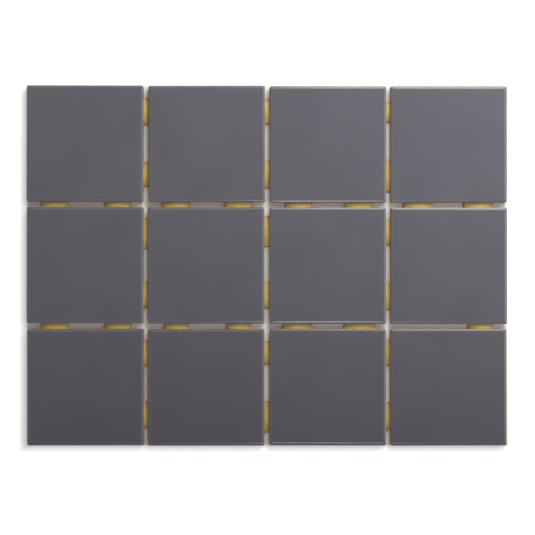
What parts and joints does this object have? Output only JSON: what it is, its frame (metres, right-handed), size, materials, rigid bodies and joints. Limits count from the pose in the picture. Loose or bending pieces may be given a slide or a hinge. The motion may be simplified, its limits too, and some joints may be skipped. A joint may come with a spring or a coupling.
{
  "type": "mosaic tile sheet",
  "caption": "Sheet of square dark grey satin glazed ceramic tiles with cushion edges, held edge to edge in rows and columns by amber glue drops in open joints, lying face up.",
  "frame": {"origin": "middle of the sheet's outline, on the plane of the tiles' backs", "axes": "+X along the rows (the long way), +Y up the columns, +Z out of the glazed faces; the sheet lies face up on a level floor"},
  "size_m": [0.4004, 0.3004, 0.0065],
  "materials": {
    "tile_glaze": "satin dark grey glaze over a reddish brown fired clay body that shows on the sides and back",
    "glue": "translucent amber, set soft and slightly glossy"
  },
  "bodies": {
    "root": {"glue_drop_level_j1_c1_left": "glue", "glue_drop_level_j1_c1_right": "glue", "glue_drop_level_j1_c2_left": "glue", "glue_drop_level_j1_c2_right": "glue", "glue_drop_level_j1_c3_left": "glue", "glue_drop_level_j1_c3_right": "glue", "glue_drop_level_j1_c4_left": "glue", "glue_drop_level_j1_c4_right": "glue", "glue_drop_level_j2_c1_left": "glue", "glue_drop_level_j2_c1_right": "glue", "glue_drop_level_j2_c2_left": "glue", "glue_drop_level_j2_c2_right": "glue", "glue_drop_level_j2_c3_left": "glue", "glue_drop_level_j2_c3_right": "glue", "glue_drop_level_j2_c4_right": "glue", "glue_drop_upright_r1_j1_lower": "glue", "glue_drop_upright_r1_j1_upper": "glue", "glue_drop_upright_r1_j2_lower": "glue", "glue_drop_upright_r1_j2_upper": "glue", "glue_drop_upright_r1_j3_lower": "glue", "glue_drop_upright_r1_j3_upper": "glue", "glue_drop_upright_r2_j1_lower": "glue", "glue_drop_upright_r2_j1_upper": "glue", "glue_drop_upright_r2_j2_lower": "glue", "glue_drop_upright_r2_j2_upper": "glue", "glue_drop_upright_r2_j3_lower": "glue", "glue_drop_upright_r2_j3_upper": "glue", "glue_drop_upright_r3_j1_lower": "glue", "glue_drop_upright_r3_j1_upper": "glue", "glue_drop_upright_r3_j2_lower": "glue", "glue_drop_upright_r3_j2_upper": "glue", "glue_drop_upright_r3_j3_lower": "glue", "glue_drop_upright_r3_j3_upper": "glue", "tile_r1_c1": "tile_glaze", "tile_r1_c2": "tile_glaze", "tile_r1_c3": "tile_glaze", "tile_r1_c4": "tile_glaze", "tile_r2_c1": "tile_glaze", "tile_r2_c2": "tile_glaze", "tile_r2_c3": "tile_glaze", "tile_r2_c4": "tile_glaze", "tile_r3_c1": "tile_glaze", "tile_r3_c2": "tile_glaze", "tile_r3_c3": "tile_glaze", "tile_r3_c4": "tile_glaze"}
  },
  "joints": []
}
